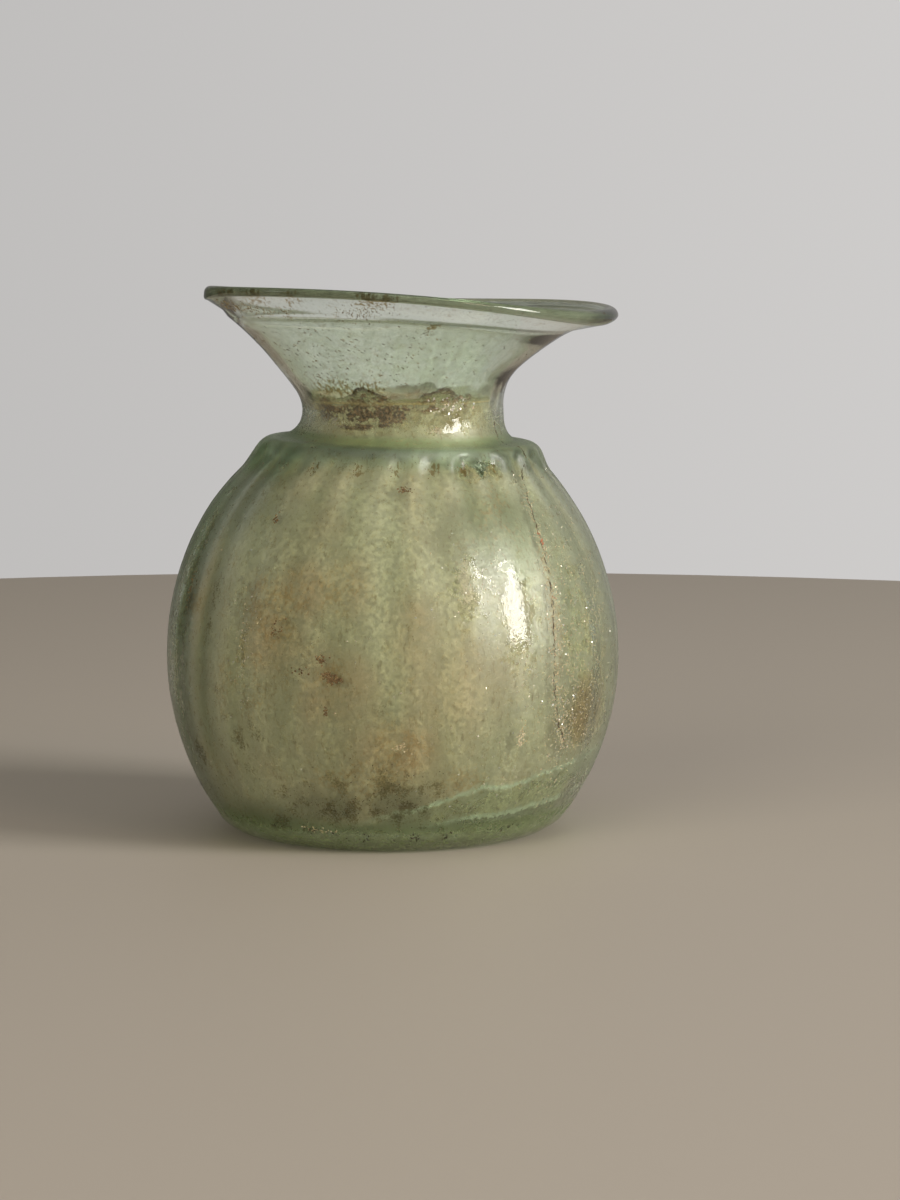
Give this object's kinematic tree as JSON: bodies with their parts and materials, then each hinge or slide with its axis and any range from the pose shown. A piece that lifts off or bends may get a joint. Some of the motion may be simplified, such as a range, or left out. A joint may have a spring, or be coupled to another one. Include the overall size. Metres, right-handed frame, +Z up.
{
  "type": "glass vase",
  "caption": "Small blown-glass vase with a ribbed globular body, a rounded shoulder ledge, a short neck and a funnel mouth with a thick lip.",
  "frame": {"origin": "on the ground, under the middle of the body", "axes": "+Z up through the mouth, with the front as seen in the picture towards -Y"},
  "size_m": [0.0814, 0.0808, 0.0977],
  "materials": {
    "glass": "pale green blown glass, weathered to a satin in patches, with a thin film of dirt inside",
    "weathering": "thin mottled film of dirt and decayed glass, from dull to pearly"
  },
  "bodies": {
    "root": {"glass_vase": "glass"}
  },
  "joints": []
}
